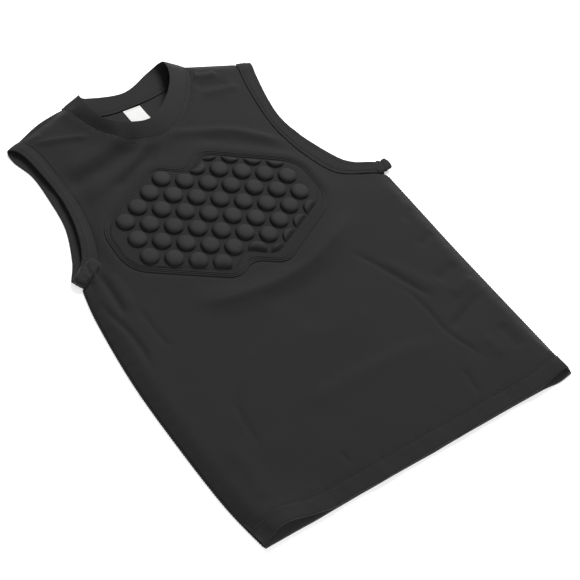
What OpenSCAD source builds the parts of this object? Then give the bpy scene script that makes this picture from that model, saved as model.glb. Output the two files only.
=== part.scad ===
// Chest protector: a sleeveless compression shirt, lying flat on its back, with a
// stitched-in chest pad of foam domes. Units are millimetres. +Y runs from the hem to
// the neck, +X runs across the chest to the wearer's left, and +Z points up off the chest.
// The origin is on the table, under the middle of the garment.

/* [Cloth] */
// Thickness of the knit cloth of both body panels
cloth_t = 0.9; // [0.6:0.1:0.9]
// Height of the top face of the front panel above the table
front_z = 7.5; // [7.5:0.5:9]
// Height of the front panel's edge where it is sewn to the back panel
edge_z = 2.0; // [1.8:0.1:2.4]
// Distance over which the front panel rises at a side seam
side_margin = 16; // [10:1:20]
// Distance over which the front panel rises at a shoulder
shoulder_margin = 12; // [8:1:16]
// How far the hem gapes at the wearer's right corner
hem_gape_right = 9; // [0:1:10]
// How far the hem gapes at the wearer's left corner
hem_gape_left = 4; // [0:0.5:5]

/* [Bands] */
// Thickness of the doubled rib knit of the neckband
neckband_t = 1.6; // [1.2:0.1:1.6]
// Thickness of the folded binding round each armhole
armband_t = 1.2; // [0.8:0.1:1.2]
// Height of the thickened underarm joins of the bindings
join_h = 4.5; // [3:0.5:4.5]

/* [Pad] */
// Distance between neighbouring foam domes
pitch = 22; // [21.5:0.1:22.5]
// Radius of a foam dome where it meets its base sheet
dome_r = 8.8; // [8:0.1:9]
// Height of a foam dome above its base sheet
dome_h = 5.4; // [4.5:0.1:6.5]
// Thickness of the cloth moulded over the domes
skin_t = 0.6; // [0.4:0.1:0.6]
// Thickness of the pad's backing cloth
backing_t = 0.5; // [0.3:0.1:0.5]
// Thickness of the foam sheet that joins the domes
base_t = 0.8; // [0.6:0.1:1.2]
// Width of the stitched border round the domes
border_w = 6; // [6:0.5:7]
// Turn of the pad on the chest, in degrees
pad_turn = -3; // [-6:1:6]

/* [Thread and trim] */
// Distance of the hem's first stitch row from the edge
hem_w = 14; // [10:1:20]
// Distance between the two rows of a double stitch
row_gap = 4; // [3:0.5:5]
// Width of one stitch row
thread_w = 1.0; // [0.6:0.1:1.2]
// Height of one stitch row above the cloth
thread_h = 0.4; // [0.3:0.1:0.5]
// Width of the neck label
label_w = 19.6; // [15:0.2:22]
// Length of the neck label from its sewn edge
label_l = 22.7; // [18:0.1:24]
// Thickness of the neck label
label_t = 0.35; // [0.2:0.05:0.4]

/* [Hidden] */
cloth_color = "#35363a";
thread_color = "#232427";
foam_color = "#5d5f66";
label_color = "#f2f2ef";
curve_steps = 5;

// Lay of the garment, hem to neck. The wearer's right is on the -X side.
hem_y = -247;
right_side = [[-176, hem_y], [-182, -200], [-183, -130], [-181, -63], [-173, 5], [-165, 41]];
left_side = [[175, hem_y], [174, -180], [173, -90], [173.5, -30], [174, 22]];
right_shoulder = [[-127.5, 215.5], [-96, 229], [-66, 235.5]];
left_shoulder = [[71, 236], [93, 227.5], [127, 214.5]];

// Neckband: the sewn edge and the free edge, as matching points round the neck, from the
// right shoulder down the front to the left shoulder, and back across the nape.
neck_seam = [
    [-66, 235, 4], [-62, 212, 7.5], [-52, 189, 7.5], [-32, 168, 7.5], [-4, 160, 7.5],
    [24, 169, 7.5], [48, 190, 7.5], [65, 213, 7.5], [71, 235, 4],
    [42, 217, 1.8], [0, 211, 1.8], [-38, 214, 1.8]
];
neck_rim = [
    [-49, 235, 15], [-50, 213, 17], [-45, 197, 17], [-29, 184, 17], [-8, 178, 17],
    [13, 187, 17], [33, 204, 17], [46, 222, 17], [50, 240, 15],
    [37, 243, 4], [0, 230, 3], [-38, 238, 4]
];
neck_folds = [0, 8];

// Armhole bindings, in the same way, from the shoulder down the front to the underarm,
// and back up the back panel.
right_arm_seam = [
    [-127.5, 215, 3], [-119, 196, 7.5], [-118, 165, 7.5], [-118, 139, 7.5],
    [-124, 99, 7.5], [-140, 59, 7.5], [-164, 41, 3],
    [-145, 64, 1.6], [-128, 103, 1.6], [-123, 145, 1.6], [-122, 175, 1.6], [-128, 200, 1.6]
];
right_arm_rim = [
    [-141, 210, 3.5], [-132, 197, 8], [-129, 165, 8], [-128.5, 139, 8],
    [-135, 103, 8], [-150, 68, 8], [-170, 52, 4],
    [-157, 72, 1.3], [-142, 108, 1.3], [-137, 145, 1.3], [-136, 175, 1.3], [-142, 198, 1.3]
];
left_arm_seam = [
    [127, 214, 3], [119, 190, 7.5], [112, 158, 7.5], [108, 125, 7.5], [111, 90, 7.5],
    [121, 57, 7.5], [136, 41, 7.5], [172, 26, 3],
    [133, 42, 1.6], [117, 60, 1.6], [107, 92, 1.6], [104, 128, 1.6], [109, 162, 1.6],
    [121, 196, 1.6]
];
left_arm_rim = [
    [140.5, 209, 3.5], [134, 190, 8], [125, 158, 8], [121, 130, 8], [126, 98, 8],
    [138, 66, 8], [151, 50, 8], [177, 37, 4],
    [148, 51, 1.3], [131, 67, 1.3], [120, 99, 1.3], [117, 131, 1.3], [121, 162, 1.3],
    [134, 194, 1.3]
];
right_join = [[-164, 42], [-170, 43], [-170, 54], [-162, 64], [-155, 63], [-158, 49]];
left_join = [[172, 29], [176, 25.5], [183.5, 29], [184, 38.5], [177, 40], [173, 34]];

// Pad: two overlapping six-sided lobes, in pitches from the pad's centre.
pad_centre = [-10, 54];
pad_corners = [
    [-0.08, 2.75], [-1.27, 3.45], [-5.05, 1.33], [-5.05, -1.11], [-1.05, -3.35],
    [-0.03, -2.75], [1.24, -3.5], [5.13, -1.32], [5.13, 1.27], [1.17, 3.5]
];
// How far from each corner its rounding starts.
corner_rounds = [12, 12, 20, 20, 12, 12, 12, 20, 20, 12];
dome_shift = [-0.43, 0.12];
dome_turn = -0.5;
// Highest row of domes in each column, counted both ways from the middle.
column_rows = [1, 1.5, 2, 2.5, 2, 2.5, 3, 2.5, 2, 1.5];
first_column = -4;
column_step = sqrt(3) / 2;
pad_z = front_z;
base_z = pad_z + backing_t;
dome_z = base_z + base_t;
dome_sphere = (dome_r * dome_r + dome_h * dome_h) / (2 * dome_h);
dome_facets = 48;
cord_w = 1.2;
cord_h = 0.8;
cord_gap = 2;
first_cord = 0.2;
backing_inset = 1;

// Hem gapes: place of the middle along X, and half width.
right_gape = [-155, 18];
left_gape = [156, 14];

seam_w = 1.2;
seam_h = 1.6;
seam_lift = 0.2;
join_round = 1.5;
stitch_inset = 3;
// Stitch rows on the bands, as shares of the band's width.
neck_row = [0.08, 0.13];
arm_row = [0.12, 0.19];
hem_row_end = 2;
hem_row_steps = 60;
back_row_reach = 150;

// Grid of the front panel: rows up the body and up the chest, and columns in from each side.
body_rows = [hem_y - 4:14:148];
chest_rows = [154:6:244];
column_margins = [0, 1.5, 4, 8, 13, 20];
middle_columns = 10;
grid_overhang = 8;

label_x = -4.4;
hinge_y = 209.6;
hinge_gap = 0.3;
label_z = 1.2;
label_hem = 1.2;

// ---- Curves ----

function curve_point(a, b, c, d, t) =
    0.5 * (2 * b + (c - a) * t + (2 * a - 5 * b + 4 * c - d) * t * t
        + (3 * b - a - 3 * c + d) * t * t * t);

// A smooth open curve through the points.
function open_curve(p) = [
    for (i = [0:len(p) - 2]) for (k = [0:curve_steps - 1])
        curve_point(p[max(i - 1, 0)], p[i], p[i + 1], p[min(i + 2, len(p) - 1)],
            k / curve_steps),
    p[len(p) - 1]
];

// A smooth closed curve through the points.
function closed_curve(p) = [
    for (i = [0:len(p) - 1]) for (k = [0:curve_steps - 1])
        curve_point(p[(i + len(p) - 1) % len(p)], p[i], p[(i + 1) % len(p)],
            p[(i + 2) % len(p)], k / curve_steps)
];

function flat(p) = [for (q = p) [q[0], q[1]]];
function reversed(p) = [for (i = [len(p) - 1:-1:0]) p[i]];
function part_of(p, first, last) = [for (i = [first:last]) p[i % len(p)]];
function unit(v) = v / norm(v);
function left_of(v) = [-v[1], v[0]];

// Direction of a path at point i, where the path is open.
function along(p, i) = unit(p[min(i + 1, len(p) - 1)] - p[max(i - 1, 0)]);

// An open path moved sideways to its left by d.
function beside(p, d) = [for (i = [0:len(p) - 1]) p[i] + d * left_of(along(p, i))];

// A polygon with long sides, counter-clockwise, moved inwards by d.
function inset(p, d) = [
    for (i = [0:len(p) - 1])
        let (
            before = unit(p[i] - p[(i + len(p) - 1) % len(p)]),
            after = unit(p[(i + 1) % len(p)] - p[i]),
            n = left_of(before),
            m = left_of(after)
        )
        p[i] + d * (n + m) / (1 + n * m)
];

// A polygon with its corners cut to smooth curves that start r[i] from corner i.
function rounded(p, r) = [
    for (i = [0:len(p) - 1]) for (k = [0:curve_steps])
        let (
            t = k / curve_steps,
            a = p[i] + r[i] * unit(p[(i + len(p) - 1) % len(p)] - p[i]),
            c = p[i] + r[i] * unit(p[(i + 1) % len(p)] - p[i])
        )
        (1 - t) * (1 - t) * a + 2 * t * (1 - t) * p[i] + t * t * c
];

// ---- Height of the front panel ----

function clamped(t) = max(0, min(1, t));
function side_at(side, y) = lookup(y, [for (q = side) [q[1], q[0]]]);

// Distance of a point inside a shoulder line, taken as straight from a to b.
function inside_line(a, b, q) = (q - a) * left_of(unit(b - a));

function rise(x, y) =
    let (
        side = min(x - side_at(right_side, y), side_at(left_side, y) - x),
        right = inside_line(right_shoulder[2], right_shoulder[0], [x, y]),
        left = inside_line(left_shoulder[2], left_shoulder[0], [x, y])
    )
    min(sin(90 * clamped(side / side_margin)),
        sin(90 * clamped(min(right, left) / shoulder_margin)));

function bump(x, y, gape) =
    exp(-pow((x - gape[0]) / gape[1], 2) - pow((y - hem_y) / (2 * gape[1]), 2));

function front_height(x, y) =
    edge_z + rise(x, y) * (front_z - edge_z + hem_gape_right * bump(x, y, right_gape)
        + hem_gape_left * bump(x, y, left_gape));

// ---- Outlines ----

neck_seam_loop = closed_curve(neck_seam);
right_arm_loop = closed_curve(right_arm_seam);
left_arm_loop = closed_curve(left_arm_seam);
neck_front = flat(part_of(neck_seam_loop, 0, neck_folds[1] * curve_steps));
neck_back = flat(part_of(neck_seam_loop, neck_folds[1] * curve_steps,
    len(neck_seam) * curve_steps));
right_arm_fold = 6;
left_arm_fold = 7;
right_arm_front = flat(part_of(right_arm_loop, 0, right_arm_fold * curve_steps));
right_arm_back = flat(part_of(right_arm_loop, right_arm_fold * curve_steps,
    len(right_arm_seam) * curve_steps));
left_arm_front = flat(part_of(left_arm_loop, 0, left_arm_fold * curve_steps));
left_arm_back = flat(part_of(left_arm_loop, left_arm_fold * curve_steps,
    len(left_arm_seam) * curve_steps));

// Both panels share the hem, sides and shoulders, and differ at the neck and armholes.
front_outline = concat(open_curve(left_side), reversed(left_arm_front),
    reversed(open_curve(left_shoulder)), reversed(neck_front),
    reversed(open_curve(right_shoulder)), right_arm_front,
    reversed(open_curve(right_side)));
back_outline = concat(open_curve(left_side), left_arm_back,
    reversed(open_curve(left_shoulder)), neck_back,
    reversed(open_curve(right_shoulder)), reversed(right_arm_back),
    reversed(open_curve(right_side)));

function pad_outline(d) =
    rounded(inset([for (q = pad_corners) q * pitch], d), [for (r = corner_rounds) r - d / 2]);

dome_places = [
    for (i = [0:len(column_rows) - 1]) for (row = [-column_rows[i]:column_rows[i]])
        ([(first_column + i) * column_step, row] + dome_shift) * pitch
];

// ---- Building blocks ----

// A closed band between two matching loops of points, t thick towards its outer face.
// It covers the width from share f to share g, lifted off the loops' surface.
module ring_band(seam, rim, t, side, f = 0, g = 1, lift = 0) {
    a = closed_curve(seam);
    b = closed_curve(rim);
    n = len(a);
    face = [
        for (i = [0:n - 1])
            let (run = a[(i + 1) % n] - a[(i + n - 1) % n])
            side * unit(cross(run, b[i] - a[i]))
    ];
    points = [
        for (i = [0:n - 1]) for (c = [[f, lift], [g, lift], [g, lift + t], [f, lift + t]])
            a[i] + (b[i] - a[i]) * c[0] + face[i] * c[1]
    ];
    tube(points, n, true, side < 0);
}

// Skin over n rings of four points each, closed round or capped at both ends.
module tube(points, n, round, flip) {
    last = round ? n - 1 : n - 2;
    walls = [
        for (i = [0:last]) for (k = [0:3])
            let (
                j = (i + 1) % n,
                m = (k + 1) % 4,
                p = [4 * i + k, 4 * i + m, 4 * j + m, 4 * j + k]
            )
            for (t = [[p[0], p[1], p[2]], [p[0], p[2], p[3]]]) t
    ];
    caps = round ? [] : [[3, 2, 1, 0], [for (k = [0:3]) 4 * n - 4 + k]];
    faces = concat(walls, caps);
    polyhedron(points, flip ? [for (t = faces) reversed(t)] : faces);
}

// A stitch row along a path on top of the front panel.
module thread_on_front(path) {
    n = len(path);
    points = [
        for (i = [0:n - 1])
            let (
                across = left_of(along(path, i)) * thread_w / 2,
                a = path[i] + across,
                b = path[i] - across,
                za = front_height(a[0], a[1]),
                zb = front_height(b[0], b[1])
            )
            for (q = [[a[0], a[1], za], [b[0], b[1], zb],
                [b[0], b[1], zb + thread_h], [a[0], a[1], za + thread_h]]) q
    ];
    tube(points, n, false, false);
}

// A rolled seam that hugs the outside of an edge of the body.
module edge_seam(path, side) {
    outer = beside(path, side * seam_w);
    translate([0, 0, seam_lift])
        linear_extrude(seam_h)
            polygon(concat(path, reversed(outer)));
}

module pad_sheet(d, z, t) {
    translate([0, 0, z])
        linear_extrude(t)
            polygon(pad_outline(d));
}

module pad_ring(outer, inner, z, t) {
    translate([0, 0, z])
        linear_extrude(t)
            difference() {
                polygon(pad_outline(outer));
                polygon(pad_outline(inner));
            }
}

module on_pad() {
    translate([pad_centre[0], pad_centre[1], 0])
        rotate([0, 0, pad_turn])
            children();
}

// The domes' upper caps, grown by extra and cut off square at the border.
module dome_caps(extra) {
    top = dome_sphere + extra;
    intersection() {
        pad_sheet(border_w, dome_z, dome_h + extra + 1);
        rotate([0, 0, dome_turn])
            for (q = dome_places)
                translate([q[0], q[1], dome_z + dome_h - dome_sphere])
                    sphere(r = top, $fn = dome_facets);
    }
}

// ---- Sub-parts ----

module back_panel() {
    color(cloth_color)
        linear_extrude(cloth_t)
            polygon(back_outline);
}

// The front panel is a thin sheet that follows front_height, cut to its outline.
module front_panel() {
    rows = concat([for (y = body_rows) y], [for (y = chest_rows) y]);
    function columns(y) =
        let (
            a = side_at(right_side, y),
            b = side_at(left_side, y),
            m = column_margins[len(column_margins) - 1]
        )
        concat([a - grid_overhang], [for (d = column_margins) a + d],
            [for (k = [1:middle_columns - 1]) a + m + (b - a - 2 * m) * k / middle_columns],
            [for (d = reversed(column_margins)) b - d], [b + grid_overhang]);
    w = len(columns(0));
    h = len(rows);
    top = [for (y = rows) for (x = columns(y)) [x, y, front_height(x, y)]];
    under = [for (q = top) [q[0], q[1], max(cloth_t, q[2] - cloth_t)]];
    function cell(i, j) = [j * w + i, j * w + i + 1, (j + 1) * w + i + 1, (j + 1) * w + i];
    upper = [for (j = [0:h - 2]) for (i = [0:w - 2]) let (c = cell(i, j))
        for (t = [[c[0], c[3], c[2]], [c[0], c[2], c[1]]]) t];
    lower = [for (t = upper) [t[2] + w * h, t[1] + w * h, t[0] + w * h]];
    border = concat([for (i = [0:w - 2]) i], [for (j = [0:h - 2]) j * w + w - 1],
        [for (i = [w - 1:-1:1]) (h - 1) * w + i], [for (j = [h - 1:-1:1]) j * w]);
    rim = [for (k = [0:len(border) - 1])
        let (a = border[k], b = border[(k + 1) % len(border)])
        for (t = [[a, b, b + w * h], [a, b + w * h, a + w * h]]) t];
    color(cloth_color)
        intersection() {
            polyhedron(concat(top, under), concat(upper, lower, rim));
            linear_extrude(3 * front_z)
                polygon(front_outline);
        }
}

module neckband() {
    color(cloth_color) ring_band(neck_seam, neck_rim, neckband_t, 1);
}

module neckband_stitch() {
    color(thread_color)
        ring_band(neck_seam, neck_rim, thread_h, 1, neck_row[0], neck_row[1], neckband_t);
}

module neck_topstitch() {
    middle = part_of(neck_front, curve_steps, (neck_folds[1] - 1) * curve_steps);
    color(thread_color) thread_on_front(beside(middle, -stitch_inset));
}

module right_armhole_band() {
    color(cloth_color) ring_band(right_arm_seam, right_arm_rim, armband_t, -1);
}

module left_armhole_band() {
    color(cloth_color) ring_band(left_arm_seam, left_arm_rim, armband_t, 1);
}

module right_armhole_stitch() {
    color(thread_color)
        ring_band(right_arm_seam, right_arm_rim, thread_h, -1, arm_row[0], arm_row[1],
            armband_t);
}

module left_armhole_stitch() {
    color(thread_color)
        ring_band(left_arm_seam, left_arm_rim, thread_h, 1, arm_row[0], arm_row[1],
            armband_t);
}

module underarm_join(outline) {
    color(cloth_color)
        translate([0, 0, edge_z])
            linear_extrude(join_h)
                polygon(rounded(outline, [for (q = outline) join_round]));
}

module right_underarm_join() { underarm_join(right_join); }
module left_underarm_join() { underarm_join(left_join); }
module right_side_seam() { color(thread_color) edge_seam(open_curve(right_side), 1); }
module left_side_seam() { color(thread_color) edge_seam(open_curve(left_side), -1); }
module right_shoulder_seam() { color(thread_color) edge_seam(open_curve(right_shoulder), 1); }
module left_shoulder_seam() { color(thread_color) edge_seam(open_curve(left_shoulder), 1); }

module front_hem_stitch() {
    a = right_side[0][0] + hem_row_end;
    b = left_side[0][0] - hem_row_end;
    color(thread_color)
        for (row = [0, 1])
            thread_on_front([for (k = [0:hem_row_steps])
                [a + (b - a) * k / hem_row_steps, hem_y + hem_w + row * row_gap]]);
}

module back_hem_stitch() {
    color(thread_color)
        for (row = [0, 1])
            translate([-back_row_reach, hem_y + hem_w + row * row_gap, cloth_t])
                cube([2 * back_row_reach, thread_w, thread_h]);
}

module pad_backing() { color(cloth_color) on_pad() pad_sheet(backing_inset, pad_z, backing_t); }
module pad_foam_base() { color(foam_color) on_pad() pad_sheet(border_w, base_z, base_t); }
module pad_foam_domes() { color(foam_color) on_pad() dome_caps(0); }

// Cloth moulded over the foam: a flat flange, a step up, and a skin over every dome.
module pad_cover() {
    color(cloth_color)
        on_pad()
            difference() {
                union() {
                    pad_ring(0, border_w, base_z, skin_t);
                    pad_ring(border_w - skin_t, border_w, base_z, base_t + skin_t);
                    pad_sheet(border_w, dome_z, skin_t);
                    dome_caps(skin_t);
                }
                dome_caps(0);
            }
}

module pad_cord(row) {
    outer = first_cord + row * cord_gap;
    color(thread_color)
        on_pad() pad_ring(outer, outer + cord_w, base_z + skin_t, cord_h);
}

module pad_outer_cord() { pad_cord(0); }
module pad_middle_cord() { pad_cord(1); }
module pad_inner_cord() { pad_cord(2); }

module neck_label() {
    color(label_color)
        translate([label_x - label_w / 2, hinge_y - hinge_gap - label_l, label_z])
            cube([label_w, label_l, label_t]);
}

module label_stitch() {
    color(thread_color)
        translate([label_x - label_w / 2 + label_hem, hinge_y - 3 * hinge_gap - thread_w,
            label_z + label_t])
            cube([label_w - 2 * label_hem, thread_w, thread_h]);
}

back_panel();
front_panel();
neckband();
left_armhole_band();
right_armhole_band();
left_underarm_join();
right_underarm_join();
left_side_seam();
right_side_seam();
left_shoulder_seam();
right_shoulder_seam();
neck_topstitch();
neckband_stitch();
left_armhole_stitch();
right_armhole_stitch();
front_hem_stitch();
back_hem_stitch();
pad_backing();
pad_foam_base();
pad_foam_domes();
pad_cover();
pad_outer_cord();
pad_middle_cord();
pad_inner_cord();
neck_label();
label_stitch();
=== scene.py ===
# %% [markdown]
# # A padded compression shirt, lying flat
#
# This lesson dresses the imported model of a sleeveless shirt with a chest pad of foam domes.
# The model gives the size, the bodies and the hinge of the neck label. Here every soft piece
# gets its real surface: folded cloth, ribbed bands, moulded domes and thread.

# %% Load the frame
import math

import bmesh
import bpy
import numpy as np
from mathutils import Matrix, Vector


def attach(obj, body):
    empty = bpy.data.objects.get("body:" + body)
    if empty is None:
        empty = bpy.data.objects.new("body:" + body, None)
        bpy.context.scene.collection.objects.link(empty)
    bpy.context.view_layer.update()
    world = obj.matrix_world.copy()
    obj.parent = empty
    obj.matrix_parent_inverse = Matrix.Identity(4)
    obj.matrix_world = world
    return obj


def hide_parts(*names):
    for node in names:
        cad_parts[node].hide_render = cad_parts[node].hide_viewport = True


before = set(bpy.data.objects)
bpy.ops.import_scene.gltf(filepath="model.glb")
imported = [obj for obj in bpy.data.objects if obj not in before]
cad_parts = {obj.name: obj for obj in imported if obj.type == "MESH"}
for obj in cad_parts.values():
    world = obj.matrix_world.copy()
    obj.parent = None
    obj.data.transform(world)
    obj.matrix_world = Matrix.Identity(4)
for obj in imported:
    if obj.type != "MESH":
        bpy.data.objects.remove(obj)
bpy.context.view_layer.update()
SHIRT = "shirt"
LABEL = "label"
MM = 0.001

# %% [markdown]
# ## The lay of the garment
#
# The shirt is drawn in millimetres: +Y from hem to neck, +X to the wearer's left. Each edge
# is a few points with a smooth curve through them. A curve through chosen points is easier
# to steer than a list of arcs, and the same points serve the cloth, the seams and the thread.

# %% Edges of the body
HEM_Y = -247
RIGHT_SIDE = [(-176, HEM_Y), (-182, -200), (-183, -130), (-181, -63), (-173, 5), (-165, 41)]
LEFT_SIDE = [(175, HEM_Y), (174, -180), (173, -90), (173.5, -30), (174, 22)]
RIGHT_SHOULDER = [(-127.5, 215.5), (-96, 229), (-66, 235.5)]
LEFT_SHOULDER = [(71, 236), (93, 227.5), (127, 214.5)]
FRONT_Z = 7.5
EDGE_Z = 2.0
CLOTH_T = 0.9
BACK_T = 0.8

# %% Edges of the neckband and the armhole bindings
NECK_SEAM = [
    (-66, 235, 4), (-62, 212, 7.5), (-52, 189, 7.5), (-32, 168, 7.5), (-4, 160, 7.5),
    (24, 169, 7.5), (48, 190, 7.5), (65, 213, 7.5), (71, 235, 4),
    (42, 217, 1.8), (0, 211, 1.8), (-38, 214, 1.8)]
NECK_RIM = [
    (-49, 235, 15), (-50, 213, 17), (-45, 197, 17), (-29, 184, 17), (-8, 178, 17),
    (13, 187, 17), (33, 204, 17), (46, 222, 17), (50, 240, 15),
    (37, 243, 4), (0, 230, 3), (-38, 238, 4)]
RIGHT_ARM_SEAM = [
    (-127.5, 215, 3), (-119, 196, 7.5), (-118, 165, 7.5), (-118, 139, 7.5),
    (-124, 99, 7.5), (-140, 59, 7.5), (-164, 41, 3), (-145, 64, 1.6),
    (-128, 103, 1.6), (-123, 145, 1.6), (-122, 175, 1.6), (-128, 200, 1.6)]
RIGHT_ARM_RIM = [
    (-141, 210, 3.5), (-132, 197, 8), (-129, 165, 8), (-128.5, 139, 8),
    (-135, 103, 8), (-150, 68, 8), (-170, 52, 4), (-157, 72, 1.3),
    (-142, 108, 1.3), (-137, 145, 1.3), (-136, 175, 1.3), (-142, 198, 1.3)]
LEFT_ARM_SEAM = [
    (127, 214, 3), (119, 190, 7.5), (112, 158, 7.5), (108, 125, 7.5), (111, 90, 7.5),
    (121, 57, 7.5), (136, 41, 7.5), (172, 26, 3), (133, 42, 1.6), (117, 60, 1.6),
    (107, 92, 1.6), (104, 128, 1.6), (109, 162, 1.6), (121, 196, 1.6)]
LEFT_ARM_RIM = [
    (140.5, 209, 3.5), (134, 190, 8), (125, 158, 8), (121, 130, 8), (126, 98, 8),
    (138, 66, 8), (151, 50, 8), (177, 37, 4), (148, 51, 1.3), (131, 67, 1.3),
    (120, 99, 1.3), (117, 131, 1.3), (121, 162, 1.3), (134, 194, 1.3)]
NECK_FOLD = 8
RIGHT_ARM_FOLD = 6
LEFT_ARM_FOLD = 7

# %% Smooth curves through points
STEPS = 12


def curve_piece(a, b, c, d, t):
    """The stretch from b to c of a smooth curve through a, b, c and d."""
    t = t[:, None]
    return 0.5 * (2 * b + (c - a) * t + (2 * a - 5 * b + 4 * c - d) * t ** 2
                  + (3 * b - a - 3 * c + d) * t ** 3)


def open_curve(points, steps=STEPS):
    p = np.array(points, float)
    p = np.vstack([p[:1], p, p[-1:]])
    t = np.arange(steps) / steps
    pieces = [curve_piece(*p[i:i + 4], t) for i in range(len(p) - 3)]
    return np.vstack(pieces + [p[-1:]])


def closed_curve(points, steps=STEPS):
    p = np.array(points, float)
    n = len(p)
    t = np.arange(steps) / steps
    return np.vstack([
        curve_piece(p[i - 1], p[i], p[(i + 1) % n], p[(i + 2) % n], t) for i in range(n)])


def lengths(path):
    """The distance along the path to each of its points."""
    return np.concatenate([[0], np.cumsum(np.linalg.norm(np.diff(path, axis=0), axis=1))])


def spaced(path, n):
    """n + 1 points at even distances along the path."""
    s = lengths(path)
    at = np.linspace(0, s[-1], n + 1)
    return np.stack([np.interp(at, s, path[:, k]) for k in range(path.shape[1])], 1)


def sampled(path, at):
    """Points along a path, where at counts its own points: 2.5 is halfway from 2 to 3."""
    k = np.arange(len(path))
    return np.stack([np.interp(at, k, path[:, c]) for c in range(path.shape[1])], 1)


def looped(path):
    """A closed path, with its first point again at its end."""
    return np.vstack([path, path[:1]])


def loop_part(points, first, last):
    """A stretch of a closed curve, from one of the points that it is drawn with to another."""
    loop = closed_curve(points)
    return np.take(loop, range(first * STEPS, last * STEPS + 1), axis=0, mode="wrap")


def front_and_back(points, fold):
    """The front and the back stretch of an opening's edge, which meet at one fold."""
    return loop_part(points, 0, fold)[:, :2], loop_part(points, fold, len(points))[:, :2]


neck_front, neck_back = front_and_back(NECK_SEAM, NECK_FOLD)
right_arm_front, right_arm_back = front_and_back(RIGHT_ARM_SEAM, RIGHT_ARM_FOLD)
left_arm_front, left_arm_back = front_and_back(LEFT_ARM_SEAM, LEFT_ARM_FOLD)
right_arm_front, left_arm_front = right_arm_front[::-1], left_arm_front[::-1]
print("front neck seam:", round(lengths(neck_front)[-1]), "mm")

# %% [markdown]
# ## Folds
#
# Cloth that lies flat still has folds: soft ridges from the neck to the pad, sharp little
# creases under the arms, and a crescent below the pad. A cloth simulation would put folds
# where it likes. Here each fold is a short curve with a height and a width, and they add up.

# %% Ways to measure the lay
def smooth(t):
    t = np.clip(t, 0, 1)
    return t * t * (3 - 2 * t)


def bell(gap, width):
    """1 at a gap of 0, fading smoothly to nothing by about twice the width."""
    return np.exp(-(gap / width) ** 2)


def nearest(path, x, y, closed=False):
    """Distance to a path, share of the way along it, its nearest point, and the side.

    The side is above 0 to the left of the way the path runs.
    """
    if closed:
        path = looped(path)
    s = lengths(path)
    best = np.full(x.shape, np.inf)
    share = np.zeros(x.shape)
    px, py, side = x.copy(), y.copy(), x.copy()
    for i in range(len(path) - 1):
        a, d = path[i], path[i + 1] - path[i]
        size = d @ d
        if size == 0:
            continue
        t = np.clip(((x - a[0]) * d[0] + (y - a[1]) * d[1]) / size, 0, 1)
        qx, qy = a[0] + t * d[0], a[1] + t * d[1]
        gap = np.hypot(x - qx, y - qy)
        closer = gap < best
        best = np.where(closer, gap, best)
        share = np.where(closer, (s[i] + t * (s[i + 1] - s[i])) / s[-1], share)
        px, py = np.where(closer, qx, px), np.where(closer, qy, py)
        side = np.where(closer, (y - a[1]) * d[0] - (x - a[0]) * d[1], side)
    return best, share, px, py, side


def inside(outline, x, y):
    """True where a point is inside a closed outline."""
    odd = np.zeros(x.shape, bool)
    for a, b in zip(outline, np.roll(outline, -1, axis=0)):
        if a[1] == b[1]:
            continue
        crosses = (a[1] > y) != (b[1] > y)
        odd ^= crosses & (x < a[0] + (y - a[1]) * (b[0] - a[0]) / (b[1] - a[1]))
    return odd


def waver(t, length, seed):
    """A smooth wandering value from -1 to 1 along t, with hills about one length apart."""
    value = 0
    for k, share in ((1.0, 0.55), (1.9, 0.3), (3.7, 0.15)):
        value = value + share * np.sin(2 * math.pi * k * t / length + seed * (1.7 + 2.3 * k))
    return value


# %% The pad's place and outline
PITCH = 22
PAD_CENTRE = np.array([-10, 54])
PAD_TURN = math.radians(-3)
PAD_CORNERS = PITCH * np.array([
    (-0.08, 2.75), (-1.27, 3.45), (-5.05, 1.33), (-5.05, -1.11), (-1.05, -3.35),
    (-0.03, -2.75), (1.24, -3.5), (5.13, -1.32), (5.13, 1.27), (1.17, 3.5)])
CORNER_ROUND = [12, 12, 20, 20, 12, 12, 12, 20, 20, 12]
# The domes are pressed down outside this area. It is drawn apart from the border, because
# they run closer to the border on one side of the pad than on the other.
DOME_CORNERS = PITCH * np.array([
    (0.02, 2.72), (-1.35, 3.6), (-5.4, 1.38), (-5.25, -1.0), (-0.92, -3.2),
    (-0.04, -2.44), (1.08, -3.16), (5, -1.1), (5.04, 1.17), (1.22, 3.36)])


def inset(p, d):
    """A polygon with long sides, counter-clockwise, moved inwards by d."""
    before = p - np.roll(p, 1, axis=0)
    after = np.roll(p, -1, axis=0) - p
    n, m = ([(-v[1], v[0]) / np.hypot(*v) for v in side] for side in (before, after))
    return np.array([q + d * (a + b) / (1 + a @ b) for q, a, b in zip(p, n, m)])


def pad_outline(d, corners=PAD_CORNERS):
    """An outline with rounded corners, d inside the edge, in the pad's own frame."""
    p = inset(corners, d)
    t = np.linspace(0, 1, 10)[:, None]
    rounded = []
    for i, q in enumerate(p):
        r = CORNER_ROUND[i] - d / 2
        a, c = p[i - 1] - q, p[(i + 1) % len(p)] - q
        a, c = q + r * a / np.hypot(*a), q + r * c / np.hypot(*c)
        rounded.append((1 - t) ** 2 * a + 2 * t * (1 - t) * q + t * t * c)
    return np.vstack(rounded)


def on_pad(x, y):
    """From the pad's own frame to the garment's."""
    c, s = math.cos(PAD_TURN), math.sin(PAD_TURN)
    return PAD_CENTRE[0] + c * x - s * y, PAD_CENTRE[1] + s * x + c * y


pad_edge = np.stack(on_pad(*pad_outline(0).T), 1)

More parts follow.
